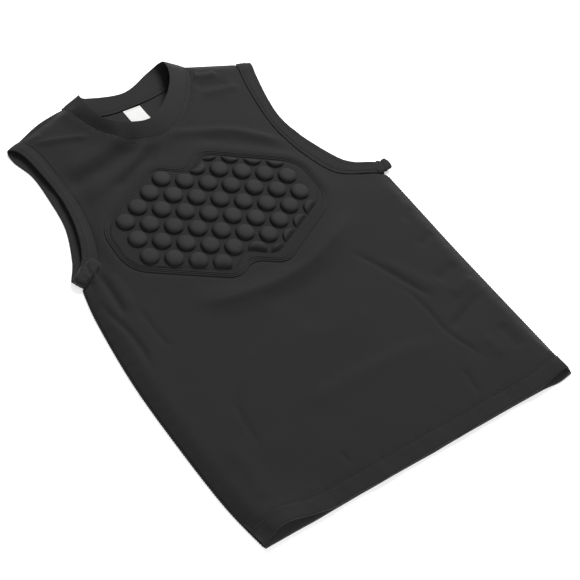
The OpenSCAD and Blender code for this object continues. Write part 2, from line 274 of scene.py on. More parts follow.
# %% The folds: path, height, and half width on the left and on the right
SIDE_BLEND = 40
FOLD_ENDS = 0.25
FOLDS = [
    ([(-119, 206), (-92, 199), (-62, 189)], 2.4, 3, 4),
    ([(-122, 214), (-103, 213)], 1.0, 3, 3),
    ([(-116, 160), (-68, 170), (-28, 178)], 2.0, 9, 8),
    ([(-124, 140), (-95, 149), (-66, 154), (-24, 167)], -4.6, 9, 8),
    ([(-118, 118), (-88, 132), (-60, 141), (-10, 163)], 3.4, 8, 7),
    ([(-84, 119), (-38, 138), (-10, 156)], -3.0, 6, 6),
    ([(-6, 160), (34, 149), (61, 138), (85, 119), (114, 94)], 2.8, 4, 7),
    ([(14, 143), (39, 134), (71, 113), (108, 82)], -1.5, 6, 8),
    ([(68, 213), (99, 209)], 2.4, 3, 4),
    ([(62, 202), (104, 195)], -1.4, 5, 5),
    ([(62, 191), (112, 185)], 1.8, 4, 6),
    ([(-104, -8), (-84, -22), (-56, -33), (-21, -37), (20, -35), (59, -24), (88, -12),
      (117, 2)], 4.6, 7, 20),
    ([(-100, -14), (-70, -31), (-21, -38), (20, -36), (59, -25), (96, -6), (118, 12)],
     1.5, 4, 6),
    ([(-40, -50), (10, -54), (50, -44)], -1.1, 7, 9),
    ([(-145, 53), (-146.5, 35), (-148, 20), (-149.5, 6), (-153, -8)], -2.0, 3, 3),
    ([(-138, 44), (-139, 20), (-143, -4)], 1.2, 5, 5),
    ([(-155.5, 45), (-161.5, 30)], -1.6, 2.6, 2.6),
    ([(-162, 27), (-162, 13), (-161, 0), (-158, -20), (-158, -42), (-163, -66)], -2.0, 3, 3),
    ([(-136, 3), (-137, -35), (-133, -56)], -1.0, 3, 3),
    ([(72, -40), (84, -57), (92, -75), (101, -97), (112, -123)], -1.6, 2.6, 3.2),
    ([(93, -58), (104, -80), (114, -100), (126, -122)], 1.2, 7, 7),
    ([(90, -90), (95, -110), (97, -128), (97, -157), (104, -179), (112, -203)], -1.4, 2.2, 2.6),
    ([(158, -137), (124, -149), (98, -157)], -1.5, 4, 4),
    ([(160, -98), (126, -108)], -1.6, 6, 6),
    ([(162, -118), (128, -128)], 1.4, 6, 6),
    ([(164, -58), (138, -66)], -1.2, 5, 5),
    ([(166, -24), (146, -36)], -1.2, 5, 5),
    ([(148, -172), (147, -207)], -1.6, 6, 6),
    ([(124, -176), (127, -206)], 1.2, 7, 7),
    ([(-74, -158), (-14, -155), (44, -156), (88, -160)], 1.7, 5, 15),
    ([(-95, -109), (-116, -124), (-122, -132), (-125, -154), (-129, -176)], -1.0, 3, 3),
    ([(-70, -208), (-70, -223)], -1.0, 2.6, 2.6),
    ([(83, -194), (77, -226)], -1.4, 3, 3),
    ([(-150, -150), (-148, -190), (-156, -222)], 1.2, 8, 8),
    ([(-40, -90), (10, -104), (58, -100)], 0.9, 12, 16),
]


def fold_height(x, y):
    """How far the folds lift the cloth. Each fades out at its two ends."""
    lift = np.zeros(x.shape)
    for path, height, left, right in FOLDS:
        gap, share, _, _, side = nearest(open_curve(path, 6), x, y)
        width = left + (right - left) * smooth(0.5 - side / np.hypot(left, right) / SIDE_BLEND)
        ends = smooth(share / FOLD_ENDS) * smooth((1 - share) / FOLD_ENDS)
        lift = lift + height * ends * bell(gap, width)
    return lift


# %% The height of the front of the shirt
HEM_W = 14
SIDE_MARGIN = 16
SHOULDER_MARGIN = 12
SIDE_TOP = 45
GAPE_REACH = 30
PAD_RAISE = 1.1
PAD_REACH = 26
PAD_CLEAR = 14
NECK_PUCKERS = 62
NECK_ROWS_AT = (2.2, 4.6)
COLLAR_RISE = 3.4
COLLAR_REACH = 12
ARM_DROP = 1.9
ARM_REACH = 17
# The gape of the hem: x, how far it lifts, and how far it is pulled up the body.
GAPE = open_curve([
    (-180, 2, 1), (-170, 8, 3), (-160, 10.5, 5), (-146, 8.5, 4.5), (-127, 3, 2),
    (-108, -0.5, 0), (-80, -1.5, 0), (90, -1.5, 0), (125, -0.5, 0.3), (145, 1.5, 1.2),
    (158, 4.5, 3), (168, 5, 3), (178, 1, 1)])


def side_x(side, y):
    p = open_curve(side)
    return np.interp(y, p[:, 1], p[:, 0])


def inside_line(a, b, x, y):
    """Distance inside the straight line from a to b, on its left."""
    d = np.array(b) - np.array(a)
    d = d / np.hypot(*d)
    return -(x - a[0]) * d[1] + (y - a[1]) * d[0]


def front_height(x, y):
    """The lay of the front panel: sewn down at the sides and shoulders, raised between."""
    side = np.minimum(x - side_x(RIGHT_SIDE, y), side_x(LEFT_SIDE, y) - x)
    side = np.where(y > SIDE_TOP, SIDE_MARGIN, side)
    above_hem = y - HEM_Y
    side = side * (1 + 1.2 * bell(above_hem, GAPE_REACH))
    shoulder = np.minimum(*(inside_line(line[2], line[0], x, y)
                            for line in (RIGHT_SHOULDER, LEFT_SHOULDER)))
    rise = np.minimum(np.sin(np.clip(side / SIDE_MARGIN, 0, 1) * math.pi / 2),
                      np.sin(np.clip(shoulder / SHOULDER_MARGIN, 0, 1) * math.pi / 2))
    gape = np.interp(x, GAPE[:, 0], GAPE[:, 1]) * bell(above_hem, GAPE_REACH)
    pad_gap = nearest(pad_edge, x, y, closed=True)[0]
    pad_gap = np.where(inside(pad_edge, x, y), 0, pad_gap)
    free = smooth(pad_gap / PAD_CLEAR)
    tucked = PAD_RAISE * (1 - smooth(pad_gap / PAD_REACH)) - 0.7 * bell(pad_gap, 1.3)
    seam_ripple = (0.6 * waver(y, 13, 1) * np.exp(-np.maximum(side, 0) / 10)
                   * np.where(y < SIDE_TOP, 1, 0))
    neck_gap, along_neck, _, _, _ = nearest(neck_front[::3], x, y)
    arm_gap = np.minimum(*(nearest(path[::4], x, y)[0]
                           for path in (right_arm_front, left_arm_front)))
    drop = ARM_DROP * bell(arm_gap, ARM_REACH) * free
    collar = COLLAR_RISE * bell(neck_gap, COLLAR_REACH)
    pucker = (0.3 * np.sin(along_neck * 2 * math.pi * NECK_PUCKERS + waver(x, 40, 1) * 2)
              * bell(neck_gap - 3.4, 2)
              - 0.5 * bell(neck_gap - NECK_ROWS_AT[0], 0.9)
              - 0.4 * bell(neck_gap - NECK_ROWS_AT[1] - 0.2, 0.9))
    pucker = (pucker * (0.7 + 1.5 * smooth((along_neck - 0.55) / 0.25))
              - 0.8 * bell(arm_gap - 0.8, 1.1)
              + 0.18 * waver(x - y, 9, 6) * bell(arm_gap - 2.5, 2.5))
    hem_ripple = (0.22 * waver(x, 13, 3) * bell(above_hem - 13, 8)
                  + 0.7 * waver(x, 64, 8) * bell(above_hem, 18)
                  - 0.5 * bell(above_hem - HEM_W - 1, 2.2))
    soft = 0.28 * waver(x + 0.4 * y, 61, 5) * waver(y - 0.3 * x, 74, 2) * free
    rest = (FRONT_Z - EDGE_Z + gape + fold_height(x, y) * free + tucked + hem_ripple + pucker
            + collar - drop + soft)
    return EDGE_Z + rise * rest + seam_ripple * np.clip(rise * 3, 0.15, 1)


# %% [markdown]
# ## Shader maths
#
# Finishes are node graphs. Writing them as plain expressions keeps them readable, so a small
# class wraps a socket: an expression such as `1 - mask * 0.3` adds the Math nodes itself.

# %% Sockets that add up
class Value:
    """A number socket of a material's nodes."""

    def __init__(self, finish, socket):
        self.finish, self.socket = finish, socket

    def math(self, operation, *others):
        return self.finish.node("ShaderNodeMath", {"operation": operation},
                                [self, *others])

    def __add__(self, other):
        return self.math("ADD", other)

    def __mul__(self, other):
        return self.math("MULTIPLY", other)

    def __sub__(self, other):
        return self.math("SUBTRACT", other)

    def __rsub__(self, other):
        return self.finish.node("ShaderNodeMath", {"operation": "SUBTRACT"}, [other, self])

    def __truediv__(self, other):
        return self.math("DIVIDE", other)

    def __pow__(self, other):
        return self.math("POWER", other)

    __radd__ = __add__
    __rmul__ = __mul__

    def wave(self):
        return self.math("SINE")

    def size(self):
        return self.math("ABSOLUTE")

    def saw(self):
        return self.math("FRACT")

    def clamped(self):
        return self.math("MINIMUM", 1).math("MAXIMUM", 0)


class Finish:
    """A material under construction."""

    def __init__(self, name):
        self.material = bpy.data.materials.new(name)
        self.material.use_nodes = True
        self.tree = self.material.node_tree
        self.shader = self.tree.nodes["Principled BSDF"]

    def node(self, kind, settings=None, inputs=(), output=0):
        """Adds a node. Settings are set first, then its sockets get values or links."""
        made = self.tree.nodes.new(kind)
        for name, value in (settings or {}).items():
            setattr(made, name, value)
        pairs = inputs.items() if isinstance(inputs, dict) else enumerate(inputs)
        for key, value in pairs:
            self.feed(made.inputs[key], value)
        return Value(self, made.outputs[output])

    def feed(self, socket, value):
        if isinstance(value, Value):
            self.tree.links.new(value.socket, socket)
        else:
            socket.default_value = value

    def surface(self, **sockets):
        for name, value in sockets.items():
            self.feed(self.shader.inputs[name.replace("_", " ")], value)

    def place(self, kind="Object"):
        """The x, y and z of a point, in metres for Object and for a piece's UV map."""
        point = self.node("ShaderNodeTexCoord", output=kind)
        parts = [self.node("ShaderNodeSeparateXYZ", inputs=[point], output=k)
                 for k in range(3)]
        return parts, point

    def noise(self, point, scale, detail=3.0):
        return self.node("ShaderNodeTexNoise", {"noise_dimensions": "3D"},
                         {"Vector": point, "Scale": scale, "Detail": detail,
                          "Roughness": 0.55})

    def tint(self, share, dark, light):
        """A grey between dark and light, each given as its red and green, and its blue."""
        ends = [(grey, grey, blue, 1) for grey, blue in (dark, light)]
        return self.node("ShaderNodeMix", {"data_type": "RGBA"},
                         {"Factor": share, 6: ends[0], 7: ends[1]}, output=2)

    def bump(self, height, depth, strength=1.0):
        return self.node("ShaderNodeBump", {},
                         {"Height": height, "Distance": depth, "Strength": strength})


# %% [markdown]
# ## Finishes
#
# The body is a fine stretch jersey: columns of tiny V stitches less than a millimetre wide,
# made here as a bump from the position in the weave. From further away only the sheen of
# brushed fibres and a faint unevenness of the dye show, in the colour and the roughness.

# %% Knitted cloth
def knit_height(finish, across, along, wale, course):
    """Columns of V stitches: wale is the width of a column and course the height of a row."""
    column = (across * (1 / wale)).saw() * 2 - 1
    lean = column.size()
    row = (along * (1 / course) + lean * 0.7) * (2 * math.pi)
    return (1 - lean ** 2) * 0.6 + row.wave() * 0.4 * (1 - lean * 0.5)


# How fast the painted shade below web and the painted light above pale come in with height.
PAINTED_SHADE_SLOPE, PAINTED_LIGHT_SLOPE = 300, 2000
# The share of the colour that the painted light on the turned hem takes.
PAINTED_LIGHT_SHARE = 0.88


def cloth_finish(name, dark, light, wale, course, depth, coords="Object", sheen=0.08,
                 roughness=0.82, shine=0.2, ribs=0.0, web=None, pale=None):
    """A matte knit. ribs is the width of a rib across the weave, or 0 for plain jersey.

    Heights are in metres. Below about web the cloth is darker, a painted shade for the
    hollows between the pad's domes. Above pale it is paler, a painted light on the hem that
    the back panel turns in, seen inside the gaping hem.
    """
    f = Finish(name)
    (across, along, _), point = f.place(coords)
    _, where = f.place()
    dye = f.noise(where, 28, 4)
    fuzz = f.noise(where, 2600, 2)
    height = knit_height(f, across, along, wale, course) + fuzz * 0.5
    shade = (dye * 0.7 + fuzz * 0.5 - 0.1).clamped()
    if ribs:
        groove = (across * (2 * math.pi / ribs)).wave() * 0.5 + 0.5
        height = height * 0.5 + groove * 2.2
        # The ribs are darker in their hollows: painted shade, along with their bump.
        shade = (shade * 0.7 + groove * 0.3).clamped()
    # Painted shade: darker towards the hollows between the domes, below about web.
    if web:
        shade = shade * ((f.place()[0][2] - web) * PAINTED_SHADE_SLOPE).clamped()
    # Painted light: paler above pale, on the turned-in hem of the back panel.
    if pale:
        turned = ((f.place()[0][2] - pale) * PAINTED_LIGHT_SLOPE).clamped()
        shade = shade * (1 - PAINTED_LIGHT_SHARE) + turned * PAINTED_LIGHT_SHARE
    f.surface(Base_Color=f.tint(shade, dark, light), Roughness=dye * 0.12 + roughness - 0.06,
              Normal=f.bump(height, depth, 0.6), Sheen_Weight=sheen, Sheen_Roughness=0.45,
              Specular_IOR_Level=shine)
    return f.material


FINE_KNIT = (0.0008, 0.0006, 0.00012)
jersey = cloth_finish("jersey", (0.0068, 0.0071), (0.0118, 0.0122), *FINE_KNIT)
# The back's cloth. Its pale end is painted light on the turned-in hem.
inner_jersey = cloth_finish("inner_jersey", (0.012, 0.0125), (0.05, 0.051), *FINE_KNIT,
                            pale=0.0013)
rib_knit = cloth_finish("rib_knit", (0.009, 0.0093), (0.015, 0.0155), 0.0009, 0.0006, 0.0001,
                        "UV", ribs=0.0013)
binding_knit = cloth_finish("binding_knit", (0.0085, 0.0088), (0.014, 0.0145), *FINE_KNIT,
                            "UV")
# The pad's cloth. Its dark end is painted shade in the hollows between the domes.
moulded_knit = cloth_finish("moulded_knit", (0.0115, 0.0118), (0.035, 0.0358), 0.0006,
                            0.0005, 0.00007, sheen=0.03, roughness=0.7, shine=0.1, web=0.0097)
lining = cloth_finish("lining", (0.012, 0.0125), (0.018, 0.0186), 0.0012, 0.0012, 0.0001)


# %% Thread, foam and the label
def thread_finish():
    """Spun thread: a twist that runs round each stitch, with a little shine."""
    f = Finish("sewing_thread")
    (x, y, z), _ = f.place()
    twist = ((x + y * 1.3 + z * 2.1) * (2 * math.pi / 0.0005)).wave() * 0.5 + 0.5
    # The twist is darker in its grooves: painted shade, along with its bump.
    f.surface(Base_Color=f.tint(twist, (0.004, 0.0043), (0.011, 0.0115)),
              Roughness=0.55 + twist * 0.15, Normal=f.bump(twist, 0.00006, 0.5),
              Sheen_Weight=0.06, Sheen_Roughness=0.4)
    return f.material


def foam_finish():
    """Closed-cell foam: a fine pitted skin."""
    f = Finish("foam")
    _, point = f.place()
    cells = f.node("ShaderNodeTexVoronoi", {"feature": "F1"},
                   {"Vector": point, "Scale": 1400.0})
    f.surface(Base_Color=f.tint(cells, (0.08, 0.088), (0.13, 0.14)),
              Roughness=0.75 + cells * 0.2, Normal=f.bump(cells, 0.00008, 0.6))
    return f.material


def label_finish():
    """Woven satin tape: fine crossing threads, with faint lengthwise ribs."""
    f = Finish("label_satin")
    (x, y, _), point = f.place("UV")
    warp = (x * (2 * math.pi / 0.00035)).wave() * 0.5 + 0.5
    weft = (y * (2 * math.pi / 0.00028)).wave() * 0.5 + 0.5
    fleck = f.noise(point, 900, 2)
    # Darker between the threads: painted shade. The flecks are the tape's own colour.
    share = (warp * 0.3 + weft * 0.3 + fleck * 0.4).clamped()
    f.surface(Base_Color=f.tint(share, (0.60, 0.59), (0.74, 0.73)),
              Roughness=0.5 + fleck * 0.15, Normal=f.bump(warp * weft, 0.00005, 0.5),
              Sheen_Weight=0.1, Sheen_Roughness=0.4)
    return f.material


thread = thread_finish()
foam = foam_finish()
label_satin = label_finish()
print("finishes:", len(bpy.data.materials))

# %% [markdown]
# ## Cloth from a grid
#
# A sheet of cloth starts as a flat grid of quads, which is laid over the shape. Quads that
# run with the edges bend cleanly, so each panel is two patches that meet on the centre line,
# and a band is one strip that is closed round on itself.

# %% Helpers that lay a grid over a shape
def laid_grid(columns, rows, shape, uv_scale=None):
    """A new bmesh: a grid whose points (u, v), from 0 to 1, are put at shape(u, v) in mm."""
    bm = bmesh.new()
    bmesh.ops.create_grid(bm, x_segments=columns, y_segments=rows, size=0.5)
    verts = list(bm.verts)
    uv = np.array([v.co[:2] for v in verts]) + 0.5
    places = shape(uv[:, 0], uv[:, 1]) * MM
    if uv_scale is not None:
        index = {v: i for i, v in enumerate(verts)}
        layer = bm.loops.layers.uv.new("weave")
        scaled = uv * np.array(uv_scale) * MM
        for face in bm.faces:
            for corner in face.loops:
                corner[layer].uv = scaled[index[corner.vert]]
    for v, place in zip(verts, places):
        v.co = place
    return bm


def merged(bm, gap):
    """Welds the points that lie within a gap in mm of each other."""
    bmesh.ops.remove_doubles(bm, verts=bm.verts, dist=gap * MM)
    return bm


def joined(parts):
    """One bmesh from several."""
    whole = parts[0]
    for part in parts[1:]:
        held = bpy.data.meshes.new("held")
        part.to_mesh(held)
        part.free()
        whole.from_mesh(held)
        bpy.data.meshes.remove(held)
    return whole


def piece(name, bm, material, body=SHIRT, replaces=(), outwards=False):
    """Finishes a bmesh as a piece that rides on a body."""
    if outwards:
        bmesh.ops.recalc_face_normals(bm, faces=bm.faces)
    mesh = bpy.data.meshes.new(name)
    bm.to_mesh(mesh)
    bm.free()
    for polygon in mesh.polygons:
        polygon.use_smooth = True
    made = bpy.data.objects.new(name, mesh)
    bpy.context.scene.collection.objects.link(made)
    mesh.materials.append(material)
    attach(made, body)
    if replaces:
        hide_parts(*replaces)
    return made


def thicken(made, thickness):
    """Gives a sheet its thickness in mm, on the side away from its faces."""
    wall = made.modifiers.new("thickness", "SOLIDIFY")
    wall.thickness = thickness * MM
    wall.offset = -1


# %% [markdown]
# ## Front and back
#
# Each panel is cut like the real one: hem, side, armhole, shoulder and neck. The cloth is
# carried round the hem's edge and back up inside by the width of the hem. The thickness
# comes from a Solidify modifier on the finished lay.

# %% One half of a panel
HEM_ROWS = 10
HEM_ROUND = 0.3
HEM_DEPTH = 2.0
CENTRE_X = -4
CENTRE_SPLIT = 32
SIDE_ROWS, CHEST_ROWS, NECK_ROWS = 150, 64, 40
COLUMNS = 88


def hem_pull(x, y, turn):
    """How far the hem's edge wanders up the body. The gaping corner is pulled up most."""
    near = bell(y - HEM_Y, 26)
    if turn > 0:
        return (0.3 * waver(x, 120, 9) - 2.2 * bell(x - 158, 14)) * near
    return (np.interp(x, GAPE[:, 0], GAPE[:, 2])
            + 0.8 * waver(x, 88, 2) * smooth((x + 130) / 20)) * near


def half_panel(side, arm, neck, shoulder, height, turn):
    """One half of a panel. turn is +1 where the turned hem lies above the cloth."""
    side, shoulder = open_curve(side), open_curve(shoulder)
    if abs(shoulder[0, 0]) > abs(shoulder[-1, 0]):
        shoulder = shoulder[::-1]
    outer = np.vstack([spaced(side, SIDE_ROWS), spaced(arm, CHEST_ROWS + NECK_ROWS)[1:]])
    split = (CENTRE_X, CENTRE_SPLIT)
    inner = np.vstack([
        spaced(np.array([(CENTRE_X, HEM_Y), split]), SIDE_ROWS),
        spaced(np.array([split, neck[0]]), CHEST_ROWS)[1:],
        spaced(neck, NECK_ROWS)[1:]])
    top = spaced(shoulder, COLUMNS)
    rows = SIDE_ROWS + CHEST_ROWS + NECK_ROWS
    total = rows + HEM_ROWS

    def shape(u, v):
        at = v * total - HEM_ROWS
        row = np.clip(at, 0, rows)
        u = u[:, None]
        across = sampled(inner, row) * (1 - u) + sampled(outer, row) * u
        straight = top[0] + (top[-1] - top[0]) * u
        sway = sampled(top, u[:, 0] * COLUMNS) - straight
        x, y = (across + ((row / rows) ** 3)[:, None] * sway).T
        z = height(x, y)
        y = y + hem_pull(x, y, turn)
        fold = np.clip(-at / HEM_ROWS, 0, 1)
        round_part = smooth(fold / HEM_ROUND)
        flat_part = np.clip((fold - HEM_ROUND) / (1 - HEM_ROUND), 0, 1)
        gap = np.clip(np.abs(z - CLOTH_T - 1.0), 0.2, HEM_DEPTH) if turn < 0 else HEM_DEPTH
        y = y + np.where(at < 0, -0.9 * np.sin(math.pi * round_part)
                         + flat_part * HEM_W, 0)
        z = z + turn * gap * (1 - np.cos(math.pi * round_part)) / 2
        return np.stack([x, y, z], 1)

    return laid_grid(COLUMNS, total, shape)


def both_halves(right_arm, left_arm, neck, height, turn):
    """A whole panel: its two halves, welded on the centre line."""
    bottom = int(np.argmin(neck[:, 1]))
    right_neck, left_neck = neck[:bottom + 1][::-1], neck[bottom:]
    parts = [half_panel(RIGHT_SIDE, right_arm, right_neck, RIGHT_SHOULDER, height, turn),
             half_panel(LEFT_SIDE, left_arm, left_neck, LEFT_SHOULDER, height, turn)]
    return merged(joined(parts), 0.05)


def facing(bm, up):
    """Turns the faces the same way round, with the widest one facing up, or down."""
    bmesh.ops.recalc_face_normals(bm, faces=bm.faces)
    bm.faces.ensure_lookup_table()
    widest = max(bm.faces, key=lambda f: abs(f.normal.z) * f.calc_area())
    if (widest.normal.z > 0) != up:
        bmesh.ops.reverse_faces(bm, faces=bm.faces)
    return bm


# %% The front panel
front_cloth = piece("front_cloth", facing(both_halves(
    right_arm_front, left_arm_front, neck_front, front_height, -1), True),
    jersey, replaces=["front_panel"])
thicken(front_cloth, CLOTH_T)
print("front panel:", len(front_cloth.data.polygons), "quads")


# %% The back panel
def back_height(x, y):
    """The back lies on the table, with a slight wander."""
    return 0.12 + 0.1 * waver(x + 0.3 * y, 90, 4) * waver(y, 110, 6)


# The cut edge of the back runs on a little, under the neckband.
NECK_ALLOWANCE = 1.8
under_band = NECK_ALLOWANCE * (1 - smooth(np.abs(neck_back[:, 0]) / 60))
back_neck = neck_back + np.stack([0 * under_band, under_band], 1)
back_cloth = piece("back_cloth", facing(both_halves(
    right_arm_back, left_arm_back, back_neck[::-1], back_height, 1), False),
    inner_jersey, replaces=["back_panel"])
thicken(back_cloth, BACK_T)
print("back panel:", len(back_cloth.data.polygons), "quads")

# %% [markdown]
# ## Neckband and armhole bindings
#
# Each band is doubled knit, folded at its free edge. A cross-section with a round nose is
# carried round the opening between the sewn edge and the free edge. The bands share the
# folds of the front panel, so that they ride up and down with it.

# %% The edges of a band
SEAM_LAP = 0.05
BACK_STEP = 0.6
# At the back, the neckband laps over the cloth, one step up from it.
NECK_LAID = [(x, y + BACK_STEP, z + BACK_STEP) if z < 2 else (x, y, z)
             for x, y, z in NECK_SEAM]
# A band's sewn edge, its free edge, which way it faces, and the share of the lift of the
# front's folds that reaches the free edge.
NECK = (NECK_LAID, NECK_RIM, 1, 0.15)
RIGHT_ARM = (RIGHT_ARM_SEAM, RIGHT_ARM_RIM, -1, 1.1)
LEFT_ARM = (LEFT_ARM_SEAM, LEFT_ARM_RIM, 1, 1.1)


def ring_run(path):
    """The direction of a closed path at each of its points."""
    return np.roll(path, -1, axis=0) - np.roll(path, 1, axis=0)


def band_edges(seam, rim, side, follow, seam_lap=0.0):
    """A band's two edges on the front's folds, its outward side, and its share of front."""
    a, b = closed_curve(seam, 24), closed_curve(rim, 24)
    front_share = smooth((a[:, 2] - 4) / 3)
    lift = (front_height(a[:, 0], a[:, 1]) - a[:, 2]) * front_share
    up = np.stack([0 * lift, 0 * lift, lift], 1)
    a, b = a + up, b + up * follow
    a = a - seam_lap * (b - a)
    face = side * np.cross(ring_run(a), b - a)
    return a, b, face / np.linalg.norm(face, axis=1)[:, None], front_share


# %% A doubled band between its two edges
BAND_T = 1.2
BAND_SECTION = 48
ROW_PULL = 0.6
ROW_WIDTH = 0.045
THIN_REACH = 0.75


def band(name, edges, rows, material, node, puff, thin):
    """rows are the shares of the band's width where its stitch rows pull it in.

    thin is how much of its thickness the band loses where it is sewn to the front.
    """
    a, b, face, front_share = band_edges(*edges, seam_lap=SEAM_LAP)
    n = len(a)
    around = lengths(looped((a + b) / 2))
    width = float(np.median(np.linalg.norm(b - a, axis=1)))
    r = BAND_T / 2

    def shape(u, v):
        low, high, out, front = (sampled(looped(p), u * n)
                                 for p in (a, b, face, front_share[:, None]))
        turn = v * 2 * math.pi
        reach = (1 - np.cos(turn)) / 2
        reach = smooth(reach) * 0.5 + reach * 0.5
        swell = np.sign(np.sin(turn)) * np.abs(np.sin(turn)) ** 0.35
        full = 1 - thin * front[:, 0] * (1 - smooth(reach / THIN_REACH))
        rise = r * full + swell * (r + puff * np.sin(math.pi * reach)) * full
        for row in rows:
            rise = rise - ROW_PULL * r * np.sign(swell) * bell(reach - row, ROW_WIDTH)
        return low + (high - low) * reach[:, None] + out * rise[:, None]

    bm = merged(laid_grid(n, BAND_SECTION, shape, (around[-1], 2 * width)), 0.004)
    print(name, "is", round(around[-1]), "mm round and", round(width), "mm wide")
    return piece(name, bm, material, replaces=[node], outwards=True)


NECK_STITCHES = (0.1,)
ARM_STITCHES = (0.2, 0.46, 0.74)
band("neck_rib", NECK, NECK_STITCHES, rib_knit, "neckband", 0.0, 0.75)
for where, edges in (("right", RIGHT_ARM), ("left", LEFT_ARM)):
    band(f"{where}_binding", edges, ARM_STITCHES, binding_knit,
         f"{where}_armhole_band", 0.35, 0.1)

# %% [markdown]
# ## The moulded pad
#
# The pad's cloth is moulded over foam domes on a honeycomb. One cell is a dome profile spun
# round its axis, with its last ring pushed out to a hexagon, so neighbouring cells weld into
# one sheet. The sheet is trimmed to the pad's outline and pressed down at the border.

# %% Dome sizes
DOME_R = 9.05
DOME_H = 5.4
DOME_SQUARE = 0.86
SKIN_T = 0.6
LINING_T = 0.5
FOAM_BASE = 0.8
FLANGE_Z = FRONT_Z + LINING_T + SKIN_T
BORDER_Z = FLANGE_Z - 0.12
WEB_Z = FLANGE_Z + FOAM_BASE
FIRST_COLUMN = -4
COLUMN_ROWS = [1, 1.5, 2, 2.5, 2, 2.5, 3, 2.5, 2, 1.5]
DOME_SHIFT = np.array([-0.43, 0.12])
DOME_TURN = math.radians(-0.5)
SPIN_STEPS = 36


def dome_profile(drop):
    """From the top of a dome down to the web between domes, as (radius, height)."""
    web, radius = WEB_Z - drop, DOME_R - drop
    turns = np.radians([0, 5, 12, 22, 33, 44, 55, 65, 74, 81, 86])
    cap = [(radius * math.sin(a) ** DOME_SQUARE, web + DOME_H * math.cos(a) ** DOME_SQUARE)
           for a in turns]
    return cap + [(radius + 0.12, web + 0.25), (radius + 0.45, web + 0.04),
                  (radius + 0.85, web)]


def cell(drop, domed):
    """One cell of the honeycomb, centred on the origin."""
    bm = bmesh.new()
    profile = dome_profile(drop)
    web = profile[-1][1]
    verts = [bm.verts.new((r * MM, 0, (z if domed else web) * MM)) for r, z in profile]
    edges = [bm.edges.new(pair) for pair in zip(verts, verts[1:])]
    bmesh.ops.spin(bm, geom=verts + edges, cent=(0, 0, 0), axis=(0, 0, 1),
                   angle=2 * math.pi, steps=SPIN_STEPS, use_merge=True)
    bmesh.ops.remove_doubles(bm, verts=bm.verts, dist=0.02 * MM)
    rim = [e for e in bm.edges if e.is_boundary]
    grown = bmesh.ops.extrude_edge_only(bm, edges=rim)["geom"]
    for v in (g for g in grown if isinstance(g, bmesh.types.BMVert)):
        angle = math.atan2(v.co.y, v.co.x) % (math.pi / 3)
        reach = PITCH / 2 / math.cos(angle - math.pi / 6)
        v.co.xy = v.co.xy.normalized() * reach * MM
    return bm


# %% The honeycomb, trimmed and pressed down at the border
DOME_EDGE = 5.2
DOME_RISE_OVER = 4.4
SKIN_TRIM, SKIN_TUCK = 4.6, 0.4
FOAM_TRIM, FOAM_GAP = 6.2, 0.15
PAD_PLACE = Matrix.Translation((*(PAD_CENTRE * MM), 0)) @ Matrix.Rotation(PAD_TURN, 4, "Z")


def honeycomb(trim, drop=0.0, tuck=0.0, lowest=0.0):
    """A sheet of cells inside the pad's outline, trim inside its edge.

    The domes are pressed down to the flange where they meet the border. drop is how far the
    sheet lies under the skin, tuck is how far its own edge goes further down, and it is
    nowhere below lowest.
    """
    outline, area = pad_outline(trim), pad_outline(DOME_EDGE, DOME_CORNERS)
    meshes = []
    for domed in (True, False):
        bm = cell(drop, domed)
        meshes.append(bpy.data.meshes.new("cell"))
        bm.to_mesh(meshes[-1])
        bm.free()
    sheet = bmesh.new()
    turn = Matrix.Rotation(DOME_TURN, 4, "Z")
    for i in range(-1, len(COLUMN_ROWS) + 1):
        odd = (FIRST_COLUMN + i) % 2
        for row in np.arange(-3.5 if odd else -4, 4.5):
            place = (np.array([(FIRST_COLUMN + i) * math.sqrt(3) / 2, row])
                     + DOME_SHIFT) * PITCH
            reach = nearest(outline, *place[:, None], closed=True)[0][0]
            if reach > PITCH * 0.65 and not inside(outline, *place[:, None])[0]:
                continue
            listed = 0 <= i < len(COLUMN_ROWS) and abs(row) <= COLUMN_ROWS[i]
            source = meshes[0 if listed else 1]
            move = turn @ Matrix.Translation((place[0] * MM, place[1] * MM, 0))
            source.transform(move)
            sheet.from_mesh(source)
            source.transform(move.inverted())
    bmesh.ops.remove_doubles(sheet, verts=sheet.verts, dist=0.05 * MM)
    x, y, z = np.array([v.co for v in sheet.verts]).T / MM
    within = inside(outline, x, y)
    gap, _, px, py, _ = nearest(outline, x, y, closed=True)
    outer = {v for v, kept in zip(sheet.verts, within) if not kept}
    free = nearest(area, x, y, closed=True)[0] * inside(area, x, y)
    limit = ((WEB_Z - BORDER_Z) * smooth(free / 2)
             + DOME_H * 1.1 * (1 - np.exp(-free / DOME_RISE_OVER)))
    low = BORDER_Z - drop
    rise = z - low
    pressed = (low + rise * limit / (rise ** 4 + limit ** 4 + 1e-9) ** 0.25
               - tuck * (1 - smooth(gap / 1.2)))
    pressed = np.maximum(np.where(within, pressed, low - tuck), lowest)
    x, y = np.where(within, x, px), np.where(within, y, py)
    for v, *place in zip(list(sheet.verts), x * MM, y * MM, pressed * MM):
        v.co = place
    gone = [f for f in sheet.faces if all(v in outer for v in f.verts)]
    bmesh.ops.delete(sheet, geom=gone, context="FACES")
    bmesh.ops.remove_doubles(sheet, verts=sheet.verts, dist=0.08 * MM)
    bmesh.ops.dissolve_degenerate(sheet, edges=sheet.edges, dist=0.01 * MM)
    bmesh.ops.transform(sheet, verts=sheet.verts, matrix=PAD_PLACE)
    return sheet


pad_skin = piece("pad_skin", facing(honeycomb(SKIN_TRIM, tuck=SKIN_TUCK), True),
                 moulded_knit, replaces=["pad_cover"])
thicken(pad_skin, SKIN_T)
print("pad skin:", len(pad_skin.data.polygons), "faces")


# %% The foam inside
FOAM_Z = FRONT_Z + LINING_T + 0.02


